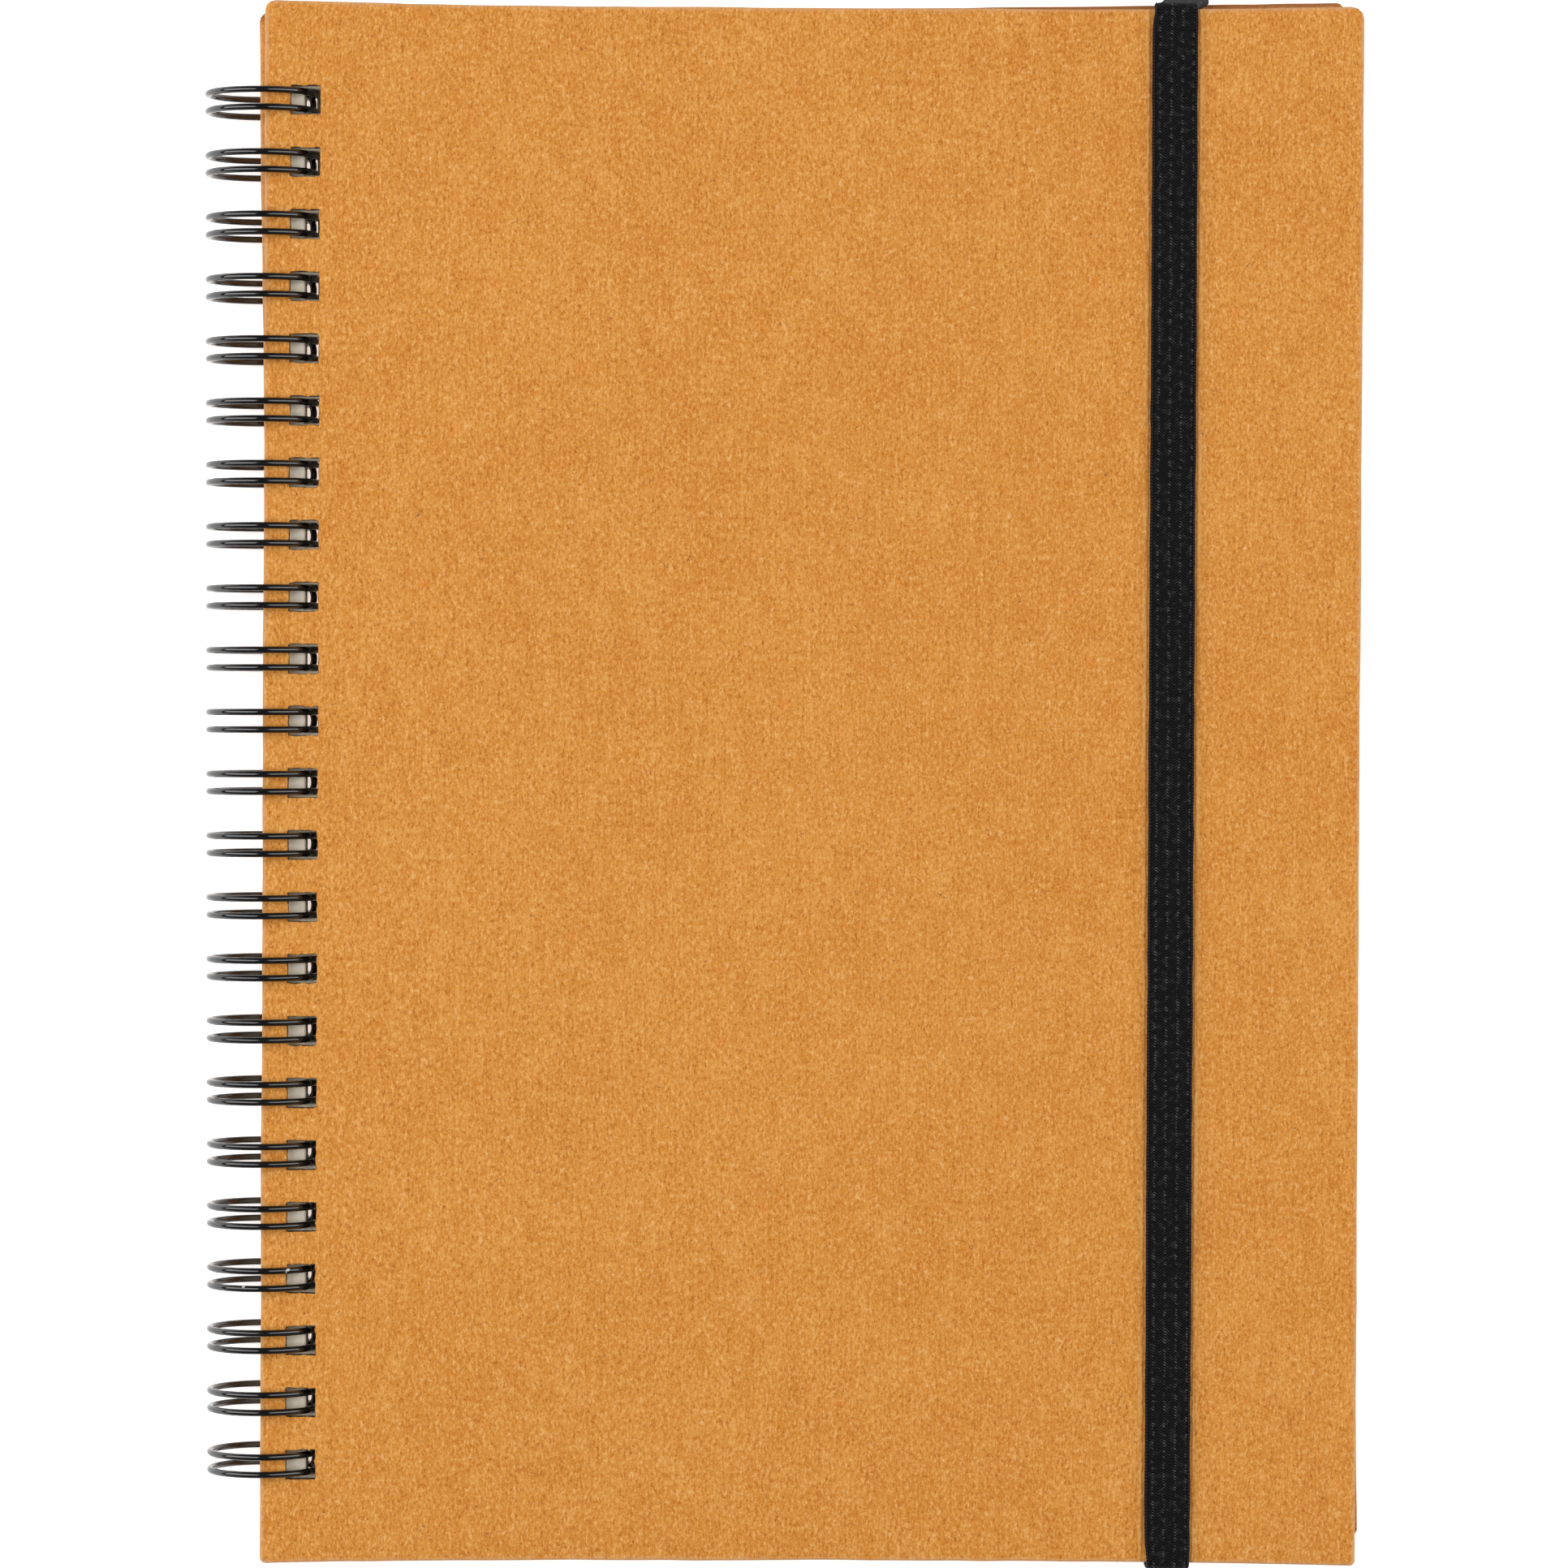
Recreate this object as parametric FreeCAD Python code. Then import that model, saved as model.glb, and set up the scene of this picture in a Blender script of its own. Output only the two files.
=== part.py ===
import FreeCAD, Part
import math
import os

os.makedirs("parts", exist_ok=True)
V = FreeCAD.Vector

# Wire-bound notebook in millimetres: +Z up, +Y towards its top edge, the wire on the -X side.
# Heights and x values below are measured from the axis of the rings and moved to the frame at export.

# wire comb: one wire bent into a row of double loops, closed between the last page and the back cover
pitch = 25.4 / 3
wire_d = 0.9
ring_r = 7.35
leg_gap = 2.4
seam_deg = -14.5
tip_deg = 327.1
tip_bend_r = leg_gap / 2
base_bend_r = 0.8

# covers: wrapped board, a row of square holes, turned a little in their plane as far as the holes let them
cover_w = 150.0
cover_h = 212.0
cover_t = 1.8
cover_top = 5.2
cover_x = 0.3
cover_end_margin = 12.0
cover_corner_r = 0.8
cover_round = 0.35
cover_hole = 4.0
cover_hole_x = 3.8
cover_turn_deg = 0.28
back_shift_y = 0.15

# endpapers pasted inside the covers, short of their edges so that the turned-in wrap shows
liner_t = 0.15
liner_margin = 4.0
liner_spine_margin = 1.2

# page block: loose sheets resting on the closed wire at the spine and on the back cover further out
page_short_x = 4.5
page_short_y = 2.0
page_x = 1.8
page_top = 3.1
page_low_spine = -2.0
page_low = -3.1
page_bend_from = 12.0
page_bend_to = 30.0
page_hole = 4.0
page_hole_x = 5.96
page_corner_r = 0.6

# elastic band: a flat woven strip round the closed book, its ends glued into the back cover
band_w = 6.2
band_t = 0.8
band_x = 124.4
band_gap = 0.15
band_lean_top = 2.2
band_lean_bottom = 0.6
lean_z = 3.2
band_bend_r = 0.9
slot_bend_r = 0.6
side_bend_r = 3.0
side_bend_z = 2.2
slot_in = 12.0
slot_clear = 0.2
tail_len = 13.0
tail_depth = 0.05

loops = 1 + int((cover_h - 2 * cover_end_margin) / pitch)
page_w = cover_x + cover_w - page_short_x - page_x
page_h = cover_h - 2 * page_short_y
base_z = ring_r + wire_d / 2
turned_x = math.sin(math.radians(cover_turn_deg)) * cover_h / 2
middle_x = (cover_x + cover_w + turned_x - base_z) / 2
to_frame = V(-middle_x, -back_shift_y / 2, base_z)


def save(shape, node):
    shape.translate(to_frame)
    shape.exportStep("parts/" + node + ".step")


def row(count, step):
    return [(i - (count - 1) / 2) * step for i in range(count)]


def on_ring(deg):
    a = math.radians(deg)
    return V(ring_r * math.cos(a), 0, ring_r * math.sin(a))


def wire_disc(deg, y):
    a = math.radians(deg)
    along = V(-math.sin(a), 0, math.cos(a))
    edge = Part.Circle(on_ring(deg) + V(0, y, 0), along, wire_d / 2).toShape()
    return Part.Face(Part.Wire(edge))


def leg(y):
    return wire_disc(seam_deg, y).revolve(V(0, y, 0), V(0, -1, 0), tip_deg - seam_deg)


def tip(y):
    centre = on_ring(tip_deg) + V(0, y, 0)
    disc = wire_disc(tip_deg, y - leg_gap / 2)
    return disc.revolve(centre, on_ring(tip_deg) * -1, 180)


def base_bend(y, side):
    centre = on_ring(seam_deg) + V(0, y + side * base_bend_r, 0)
    return wire_disc(seam_deg, y).revolve(centre, on_ring(seam_deg) * side, 90)


def bar(y_from, y_to):
    a = math.radians(seam_deg)
    centre = on_ring(seam_deg) + V(math.sin(a), 0, -math.cos(a)) * base_bend_r
    return Part.makeCylinder(wire_d / 2, y_to - y_from, centre + V(0, y_from, 0), V(0, 1, 0))


def make_wire():
    pieces = []
    reach = leg_gap / 2 + base_bend_r
    for y in row(loops, pitch):
        pieces.append(tip(y))
        for side in (-1, 1):
            pieces.append(leg(y + side * leg_gap / 2))
            pieces.append(base_bend(y + side * leg_gap / 2, side))
    for y in row(loops - 1, pitch):
        pieces.append(bar(y - pitch / 2 + reach, y + pitch / 2 - reach))
    return pieces[0].multiFuse(pieces[1:])


def plate(x, width, height, low, high, corner):
    box = Part.makeBox(width, height, high - low, V(x, -height / 2, low))
    return box.makeFillet(corner, [e for e in box.Edges if abs(e.tangentAt(e.FirstParameter).z) > 0.9])


def holes(x, size, low, high):
    boxes = []
    for y in row(loops, pitch):
        boxes.append(Part.makeBox(size, size, high - low, V(x, y - size / 2, low)))
    return Part.makeCompound(boxes)


def in_cover_plane(shape, side):
    shape.rotate(V(0, 0, 0), V(0, 0, 1), -side * cover_turn_deg)
    if side < 0:
        shape.translate(V(0, back_shift_y, 0))
    return shape


def make_cover(side):
    low = cover_top - cover_t if side > 0 else -cover_top
    high = low + cover_t
    board = plate(cover_x, cover_w, cover_h, low, high, cover_corner_r)
    rims = [e for e in board.Edges if e.BoundBox.ZLength < 0.01]
    board = board.makeFillet(cover_round, rims)
    board = board.cut(holes(cover_hole_x, cover_hole, low - 1, high + 1))
    return in_cover_plane(board, side)


def make_liner(side):
    inner = side * (cover_top - cover_t)
    low = min(inner, inner - side * liner_t)
    x = cover_x + liner_spine_margin
    width = cover_w - liner_spine_margin - liner_margin
    sheet = plate(x, width, cover_h - 2 * liner_margin, low, low + liner_t, cover_corner_r)
    sheet = sheet.cut(holes(cover_hole_x, cover_hole, low - 1, low + 1))
    return in_cover_plane(sheet, side)


def make_pages():
    bend = (page_bend_to - page_bend_from) / 2
    top = [V(page_x, 0, page_top), V(page_x + page_w, 0, page_top)]
    curve = Part.BezierCurve()
    curve.setPoles([
        V(page_bend_to, 0, page_low),
        V(page_bend_to - bend, 0, page_low),
        V(page_bend_from + bend, 0, page_low_spine),
        V(page_bend_from, 0, page_low_spine),
    ])
    edges = [
        Part.makeLine(top[0], top[1]),
        Part.makeLine(top[1], V(page_x + page_w, 0, page_low)),
        Part.makeLine(V(page_x + page_w, 0, page_low), V(page_bend_to, 0, page_low)),
        curve.toShape(),
        Part.makeLine(V(page_bend_from, 0, page_low_spine), V(page_x, 0, page_low_spine)),
        Part.makeLine(V(page_x, 0, page_low_spine), top[0]),
    ]
    face = Part.Face(Part.Wire(edges))
    face.translate(V(0, -page_h / 2, 0))
    block = face.extrude(V(0, page_h, 0))
    upright = [e for e in block.Edges if e.BoundBox.XLength < 0.01 and e.BoundBox.YLength < 0.01]
    block = block.makeFillet(page_corner_r, upright)
    return block.cut(holes(page_hole_x, page_hole, page_low - 1, page_top + 1))


def cover_edge_y(side, end):
    # seen from the front cover, whose turn the band shares, the back cover is turned twice as far
    back = 2 * math.radians(cover_turn_deg) * band_x + back_shift_y
    return end * cover_h / 2 + (back if side < 0 else 0)


def band_points(end):
    half = band_t / 2
    high = cover_top + band_gap + half
    tail = cover_t - cover_top - tail_depth - half
    front = cover_edge_y(1, end) + end * (band_gap + half)
    back = cover_edge_y(-1, end) + end * (band_gap + half)
    slot = cover_edge_y(-1, end) - end * slot_in
    return [
        (V(0, 0, high), 0),
        (V(0, front, high), band_bend_r),
        (V(0, front, side_bend_z), side_bend_r),
        (V(0, back, -side_bend_z), side_bend_r),
        (V(0, back, -high), band_bend_r),
        (V(0, slot, -high), slot_bend_r),
        (V(0, slot, tail), slot_bend_r),
        (V(0, slot - end * tail_len, tail), 0),
    ]


def rounded_path(points):
    edges = []
    start = points[0][0]
    for i in range(1, len(points) - 1):
        corner, radius = points[i]
        back = (points[i - 1][0] - corner).normalize()
        onward = (points[i + 1][0] - corner).normalize()
        half_angle = back.getAngle(onward) / 2
        reach = radius / math.tan(half_angle)
        to_centre = (back + onward).normalize() * (radius / math.sin(half_angle))
        middle = corner + to_centre - to_centre.normalize() * radius
        edges.append(Part.makeLine(start, corner + back * reach))
        edges.append(Part.Arc(corner + back * reach, middle, corner + onward * reach).toShape())
        start = corner + onward * reach
    edges.append(Part.makeLine(start, points[-1][0]))
    return Part.Wire(edges)


def lean_of(end):
    return band_lean_top if end > 0 else band_lean_bottom


def band_half(end):
    reach = band_w + band_lean_top
    half = band_t / 2
    top = cover_top + band_gap + half
    rim = [V(x, 0, top + z) for x, z in ((-reach, -half), (reach, -half), (reach, half), (-reach, half))]
    strip = rounded_path(band_points(end)).makePipeShell([Part.makePolygon(rim + rim[:1])], True, False)
    lean = lean_of(end)
    side = [(0, 20), (0, lean_z), (lean, -lean_z), (lean, -20)]
    left = [V(x - band_w / 2, 0, z) for x, z in side]
    right = [V(x + band_w / 2, 0, z) for x, z in reversed(side)]
    limits = Part.Face(Part.makePolygon(left + right + left[:1])).extrude(V(0, end * cover_h, 0))
    shape = strip.common(limits)
    shape.translate(V(band_x, 0, 0))
    return shape


def make_band():
    return in_cover_plane(band_half(1).fuse(band_half(-1)).removeSplitter(), 1)


def band_slot(end):
    wide = band_w + 2 * slot_clear
    deep = band_t + 2 * slot_clear
    inner = cover_t - cover_top
    x = band_x + lean_of(end) - wide / 2
    y = cover_edge_y(-1, end) - end * slot_in
    through = Part.makeBox(wide, deep, 3 * cover_t, V(x, y - deep / 2, -cover_top - cover_t))
    floor = inner - tail_depth - band_t - tail_depth
    length = tail_len + band_t
    y_low = y - length if end > 0 else y
    recess = Part.makeBox(wide, length, cover_t, V(x, y_low, floor))
    return in_cover_plane(through.fuse(recess), 1)


def make_back_cover():
    return make_cover(-1).cut(Part.makeCompound([band_slot(1), band_slot(-1)]))


save(make_wire(), "wire_binding")
save(make_cover(1), "front_cover")
save(make_back_cover(), "back_cover")
save(make_liner(1), "front_endpaper")
save(make_liner(-1), "back_endpaper")
save(make_pages(), "page_block")
save(make_band(), "elastic_band")
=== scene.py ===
import math
import random

import bpy
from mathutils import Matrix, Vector
from mathutils.geometry import delaunay_2d_cdt


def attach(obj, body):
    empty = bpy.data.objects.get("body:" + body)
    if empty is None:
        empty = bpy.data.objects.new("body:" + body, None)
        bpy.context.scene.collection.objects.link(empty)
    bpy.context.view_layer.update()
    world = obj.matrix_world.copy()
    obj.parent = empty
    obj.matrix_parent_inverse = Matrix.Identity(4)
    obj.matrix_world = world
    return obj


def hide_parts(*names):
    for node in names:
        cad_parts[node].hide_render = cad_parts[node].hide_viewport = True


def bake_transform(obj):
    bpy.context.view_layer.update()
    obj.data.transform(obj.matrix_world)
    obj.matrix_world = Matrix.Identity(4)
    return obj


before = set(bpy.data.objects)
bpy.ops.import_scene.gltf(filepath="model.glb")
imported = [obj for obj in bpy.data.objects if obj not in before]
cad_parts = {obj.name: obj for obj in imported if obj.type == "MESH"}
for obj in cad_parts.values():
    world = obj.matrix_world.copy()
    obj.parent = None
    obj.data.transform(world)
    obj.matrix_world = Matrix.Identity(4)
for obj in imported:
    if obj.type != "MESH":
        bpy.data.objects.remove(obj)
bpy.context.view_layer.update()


# Front cover. Grey board wrapped in a kraft-like paper that carries short fibres and specks, its edges turned
# over and rounded, its corners folded at 45 degrees, then punched with a row of square holes that show the
# cut board. It is turned a little in its plane about the wire.
MM = 0.001

# Lengths are in millimetres and angles in degrees. A cover's own frame has its zero on the rings' axis, x to
# the right, y up and z towards the viewer. COVER_TOP is how far the outer faces lie from that axis.
RING_AXIS = Vector((-71.509, -0.075, 7.8)) * MM
LOOPS = 23
PITCH = 25.4 / 3
COVER_W = 150.0
COVER_H = 212.0
COVER_X = 0.3
COVER_TOP = 5.2
COVER_T = 1.8
COVER_TURN = 0.28
HOLE = 4.0
HOLE_X = 3.8
BAND_X = 124.4

# Roundings, and how finely the outlines are drawn. A board's corners are lower right, upper right, upper left
# and lower left.
EDGE_R = 0.38
EDGE_ARC = 4
EDGE_STEP = 1.6
CORNER_ARC = 3
FRONT_CORNERS = (0.75, 1.7, 1.4, 0.8)
HOLE_R = 0.12
SLOT_R = 0.3
HOLE_ARC = 2
HOLE_STEP = 0.33

# The boards' warp, and the dent under the tight band.
WARP = 0.05
DENT = 0.05
DENT_HALF = 4.2

# The two materials of a board, and the levels down a hole from the wrap beside it to the far face: how far
# into the hole, whether torn fibres show, how deep.
WRAP_FACE = 0
CUT_FACE = 1
HOLE_LEVELS = [(-0.55, 0, 0.0), (-0.22, 0, -0.03), (-0.05, 1, 0.01), (0.0, 1, 0.12), (0.02, 0, 0.5),
               (0.0, 0, COVER_T - 0.1), (-0.1, 0, COVER_T), (-0.4, 0, COVER_T)]

# The loose grid of points that lets a board's faces bend: its cells along and up, how far each point strays
# and how far it keeps from a hole. The rim is where a board's outline may depart from its plain size.
GRID_X = 61
GRID_Y = 85
GRID_STRAY = 0.4
HOLE_BORDER = 1.2
RIM = 2.4

# How each board's cut differs from a true rectangle on its holes: skew in degrees, shift to the right,
# narrower at the right side, longer at each end, hollow by how much further the ends stand out at both sides.
FRONT_TRIM = {"skew": 0.0, "shift": 0.0, "narrower": 0.0, "longer": 0.12, "hollow": 0.6}
BACK_TRIM = {"skew": 0.3, "shift": 0.1, "narrower": 0.5, "longer": -0.3, "hollow": 0.15}

KRAFT_TONES = {
    "ground": (207, 133, 47),
    "ground light": (211, 139, 53),
    "patch light": (219, 153, 70),
    "patch deep": (202, 125, 40),
    "grain light": (234, 177, 105),
    "grain deep": (172, 94, 19),
    "fibre light": (243, 196, 130),
    "fibre fine": (240, 188, 118),
    "fleck": (238, 188, 122),
    "fibre brown": (128, 78, 36),
    "fibre grey": (84, 64, 60),
    "dot": (92, 66, 56),
    "flush": (228, 124, 44),
    "rubbed and lit rim": (214, 166, 122),
    "worn and shaded side": (132, 84, 44),
    "painted_shade_border": (150, 88, 44),
    "seam": (104, 62, 28),
    "crease_shade": (150, 84, 26),
    "ridge_highlight": (240, 184, 112),
}
BOARD_DARK = (66, 52, 40)
BOARD_LIGHT = (132, 116, 92)
BOARD_PRESSED = (92, 62, 36)


class Sock:
    """One output socket, with arithmetic that adds math nodes behind it."""

    def __init__(self, shader, out):
        self.shader, self.out = shader, out

    def math(self, operation, *others):
        return self.shader.node("ShaderNodeMath", {"operation": operation}, [self, *others])

    def __add__(self, other):
        return self.math("ADD", other)

    def __sub__(self, other):
        return self.math("SUBTRACT", other)

    def __mul__(self, other):
        return self.math("MULTIPLY", other)

    def __truediv__(self, other):
        return self.math("DIVIDE", other)

    def __rsub__(self, other):
        return self * -1 + other

    __radd__ = __add__
    __rmul__ = __mul__

    def ramp(self, low, high, to_low=0.0, to_high=1.0):
        """Smooth step from to_low at low to to_high at high."""
        settings = {"interpolation_type": "SMOOTHSTEP"}
        return self.shader.node("ShaderNodeMapRange", settings, [self, low, high, to_low, to_high])

    def xyz(self):
        return [self.shader.node("ShaderNodeSeparateXYZ", {}, [self], output=i) for i in range(3)]


class Shader:
    """A new material whose nodes are all added through one method."""

    def __init__(self, name):
        self.material = bpy.data.materials.new(name)
        self.material.use_nodes = True
        self.tree = self.material.node_tree
        self.surface = self.tree.nodes["Principled BSDF"]

    def node(self, kind, settings=None, inputs=(), output=0):
        made = self.tree.nodes.new(kind)
        for name, value in (settings or {}).items():
            setattr(made, name, value)
        pairs = inputs.items() if isinstance(inputs, dict) else enumerate(inputs)
        for key, value in pairs:
            self.put(made.inputs[key], value)
        return Sock(self, made.outputs[output])

    def put(self, socket, value):
        if isinstance(value, Sock):
            self.tree.links.new(value.out, socket)
        else:
            socket.default_value = value

    def set(self, **values):
        for name, value in values.items():
            self.put(self.surface.inputs[name.replace("_", " ")], value)
        return self.material

    def place(self, scale=(1, 1, 1), offset=(0, 0, 0), turn=0.0):
        """Coordinates in the piece's own frame, in millimetres, stretched and moved."""
        own = self.node("ShaderNodeTexCoord", output="Object")
        return self.node("ShaderNodeMapping", {}, {
            "Vector": own, "Scale": tuple(1000 * s for s in scale), "Location": offset,
            "Rotation": (0, 0, math.radians(turn))})

    def noise(self, where, scale, detail, rough=0.5):
        return self.node("ShaderNodeTexNoise", {}, {
            "Vector": where, "Scale": scale, "Detail": detail, "Roughness": rough})

    def cells(self, where, scale):
        """Distance to the nearest of many scattered points."""
        return self.node("ShaderNodeTexVoronoi", {"feature": "F1"}, {"Vector": where, "Scale": scale},
                         output="Distance")

    def blend(self, factor, a, b):
        """Colour a where factor is 0 and b where it is 1."""
        return self.node("ShaderNodeMix", {"data_type": "RGBA", "blend_type": "MIX", "clamp_factor": True},
                         {0: factor, 6: a, 7: b}, output=2)

    def bump(self, height, distance, strength):
        return self.node("ShaderNodeBump", {}, {
            "Height": height, "Distance": distance * MM, "Strength": strength})


def colour(r, g, b):
    """Linear colour from an 8-bit sRGB one."""
    def one(v):
        v /= 255
        return v / 12.92 if v < 0.04045 else ((v + 0.055) / 1.055) ** 2.4
    return (one(r), one(g), one(b), 1.0)


def hash_noise(*key):
    """A repeatable value from -1 to 1 for any key."""
    return random.Random(repr(key)).uniform(-1, 1)


def wobble(t, step, key):
    """Smooth noise along a line, one random value every step."""
    i = math.floor(t / step)
    f = t / step - i
    f = f * f * (3 - 2 * f)
    return hash_noise(key, i) * (1 - f) + hash_noise(key, i + 1) * f


def rounded_outline(x0, y0, x1, y1, radii, step, arc):
    """Points and outward directions round a rectangle, anticlockwise from its lower right corner. Each corner
    has its own radius and is drawn in arc pieces. The sides have a point about every step."""
    out = []
    corners = [(x1, y0, -1, 1), (x1, y1, -1, -1), (x0, y1, 1, -1), (x0, y0, 1, 1)]
    centres = [(x + sx * r, y + sy * r, r) for (x, y, sx, sy), r in zip(corners, radii)]
    for i, (cx, cy, radius) in enumerate(centres):
        for k in range(arc + 1):
            a = math.radians(90 * (i - 1 + k / arc))
            out.append((cx + radius * math.cos(a), cy + radius * math.sin(a), math.cos(a), math.sin(a)))
        nx, ny, next_radius = centres[(i + 1) % 4]
        a = math.radians(90 * i)
        end = (nx + next_radius * math.cos(a), ny + next_radius * math.sin(a))
        x, y, dx, dy = out[-1]
        count = max(1, round(math.hypot(end[0] - x, end[1] - y) / step))
        for k in range(1, count):
            f = k / count
            out.append((x + (end[0] - x) * f, y + (end[1] - y) * f, dx, dy))
    return out


def hole_centres():
    """Heights of the holes, one for each double loop."""
    return [(i - (LOOPS - 1) / 2) * PITCH for i in range(LOOPS)]


def turned(x, y, degrees):
    """A point or direction turned anticlockwise about the rings' axis."""
    a = math.radians(degrees)
    return x * math.cos(a) - y * math.sin(a), x * math.sin(a) + y * math.cos(a)


def stretch_at(x, trim):
    """How a board is longer than its plain size at x, as a share: its ends are cut slightly hollow."""
    t = (x - COVER_X - COVER_W / 2) / (COVER_W / 2)
    return 1 + (trim["longer"] + trim["hollow"] * abs(t) ** 3) / (COVER_H / 2)


def make_mesh(name, verts, faces, material, smooth=True):
    """A mesh object from points in millimetres, with one material or a list of them."""
    mesh = bpy.data.meshes.new(name)
    mesh.from_pydata([Vector(v) * MM for v in verts], [], faces)
    for m in material if isinstance(material, list) else [material]:
        mesh.materials.append(m)
    mesh.validate()
    if smooth:
        mesh.shade_smooth()
    else:
        mesh.shade_flat()
    made = bpy.data.objects.new(name, mesh)
    bpy.context.scene.collection.objects.link(made)
    return made


def inside(x, y, loop):
    """Whether a point lies inside a closed line of points."""
    hit = False
    for i in range(len(loop)):
        x0, y0 = loop[i][:2]
        x1, y1 = loop[i - 1][:2]
        if (y0 > y) != (y1 > y) and x < (x1 - x0) * (y - y0) / (y1 - y0) + x0:
            hit = not hit
    return hit


def within(x, y, box):
    """Whether a point lies in a box of (left, low, right, high)."""
    return box[0] < x < box[2] and box[1] < y < box[3]


def edge_levels():
    """The rounded edge of the outer face and then that of the inner face, as in HOLE_LEVELS."""
    out = []
    for k in range(EDGE_ARC + 1):
        a = math.radians(90 * k / EDGE_ARC)
        out.append((EDGE_R * (1 - math.sin(a)), 0, EDGE_R * (1 - math.cos(a))))
    return out + [(inset, torn, COVER_T - drop) for inset, torn, drop in reversed(out)]


def edge_rough(i, inset, torn, key):
    """The outer edge wanders in long and short waves."""
    at = i * EDGE_STEP
    return 0.07 * wobble(at, 17.0, key) + 0.035 * wobble(at, 4.0, key + "f")


def hole_rough(i, inset, torn, key):
    """A hole's edge is punched unevenly, with tufts where the wrap tore."""
    tuft = 0.2 * max(0, wobble(i, 1.7, key) - 0.15) * (1 if torn else 0.2)
    return 0.035 * hash_noise(key, i, round(inset, 2)) + 0.05 * wobble(i, 6.0, key) + tuft


def board_outline(corner_radii, trim):
    """The board's outer edge, as it is really cut: points and outward directions."""
    out = []
    corners = (COVER_X, -COVER_H / 2, COVER_X + COVER_W - trim["narrower"], COVER_H / 2)
    for x, y, dx, dy in rounded_outline(*corners, corner_radii, EDGE_STEP, CORNER_ARC):
        px, py = turned(x, y * stretch_at(x, trim), trim["skew"])
        out.append((px + trim["shift"], py, *turned(dx, dy, trim["skew"])))
    return out


def cover_mesh(name, side, materials, relief, corner_radii, trim, slots=()):
    """A wrapped board: rings of points down its outer edge and down each hole, and a filled face above and
    below. relief(x, y) lifts the outer face, and slots are extra rectangles cut right through."""
    outer, inner = COVER_TOP * side, (COVER_TOP - COVER_T) * side
    verts, faces, face_slots = [], [], []

    def rings(points, levels, key, rough):
        """One ring of vertex numbers for each (inset, torn, drop) level."""
        made = []
        for inset, torn, drop in levels:
            ring = []
            for i, (x, y, dx, dy) in enumerate(points):
                w = inset + rough(i, inset, torn, key)
                px, py = x - dx * w, y - dy * w
                lift = relief(px, py) if drop < COVER_T / 2 else 0
                ring.append(len(verts))
                verts.append((px, py, outer + side * (lift - drop)))
            made.append(ring)
        return made

    def walls(made, flip, slot):
        """Joins each ring to the next."""
        for a, b in zip(made, made[1:]):
            for i in range(len(a)):
                j = (i + 1) % len(a)
                quad = (a[i], a[j], b[j], b[i])
                faces.append(quad[::-1] if flip else quad)
                face_slots.append(slot)

    def fill(loops, boxes, height, up, lift):
        """Covers the area inside the first loop and outside the others."""
        flat = [Vector(verts[v][:2]) for loop in loops for v in loop]
        source = [v for loop in loops for v in loop]
        edges, at = [], 0
        for loop in loops:
            edges += [(at + i, at + (i + 1) % len(loop)) for i in range(len(loop))]
            at += len(loop)
        for i in range(1, GRID_X):
            for j in range(1, GRID_Y):
                x, y = COVER_X + COVER_W * i / GRID_X, -COVER_H / 2 + COVER_H * j / GRID_Y
                if any(within(x, y, box) for box in boxes):
                    continue
                px = x + GRID_STRAY * hash_noise("gx", i, j)
                py = y + GRID_STRAY * hash_noise("gy", i, j)
                flat.append(Vector((px, py)))
                source.append(len(verts))
                verts.append((px, py, height + (side * relief(px, py) if lift else 0)))
        co, _, tris, orig, _, _ = delaunay_2d_cdt(flat, edges, [], 0, 1e-6)
        number = [source[o[0]] for o in orig]
        for tri in tris:
            cx = sum(co[v].x for v in tri) / 3
            cy = sum(co[v].y for v in tri) / 3
            near = [loop for loop, box in zip(loops[1:], boxes) if within(cx, cy, box)]
            if any(inside(cx, cy, [verts[v] for v in loop]) for loop in near):
                continue
            in_rim = not COVER_X + RIM < cx < COVER_X + COVER_W - RIM or abs(cy) > COVER_H / 2 - RIM
            if in_rim and not inside(cx, cy, [verts[v] for v in loops[0]]):
                continue
            face = tuple(number[v] for v in tri)
            faces.append(face if up else face[::-1])
            face_slots.append(WRAP_FACE)

    flip = side > 0
    edge = rings(board_outline(corner_radii, trim), edge_levels(), name + "edge", edge_rough)
    walls(edge, flip, WRAP_FACE)
    tops, bottoms = [edge[0]], [edge[-1]]
    cuts = [(HOLE_X, y - HOLE / 2, HOLE_X + HOLE, y + HOLE / 2, HOLE_R, "hole%d" % i)
            for i, y in enumerate(hole_centres())]
    cuts += [(*box, SLOT_R, "slot%d" % i) for i, box in enumerate(slots)]
    for x0, y0, x1, y1, radius, key in cuts:
        points = rounded_outline(x0, y0, x1, y1, [radius] * 4, HOLE_STEP, HOLE_ARC)
        made = rings(points, HOLE_LEVELS, name + key, hole_rough)
        walls(made[:3], not flip, WRAP_FACE)
        walls(made[2:6], not flip, CUT_FACE)
        walls(made[5:], not flip, WRAP_FACE)
        tops.append(made[0])
        bottoms.append(made[-1])
    boxes = [(x0 - HOLE_BORDER, y0 - HOLE_BORDER, x1 + HOLE_BORDER, y1 + HOLE_BORDER)
             for x0, y0, x1, y1, _, _ in cuts]
    fill(tops, boxes, outer, side > 0, True)
    fill(bottoms, boxes, inner, side < 0, False)
    made = make_mesh(name, verts, faces, materials)
    for polygon, slot in zip(made.data.polygons, face_slots):
        polygon.material_index = slot
    return made


def put_cover(obj, side, shift):
    """Lays a piece made in a cover's frame where that cover lies, moved up by shift."""
    obj.location = RING_AXIS + Vector((0, shift, 0)) * MM
    obj.rotation_euler = (0, 0, -side * math.radians(COVER_TURN))


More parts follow.
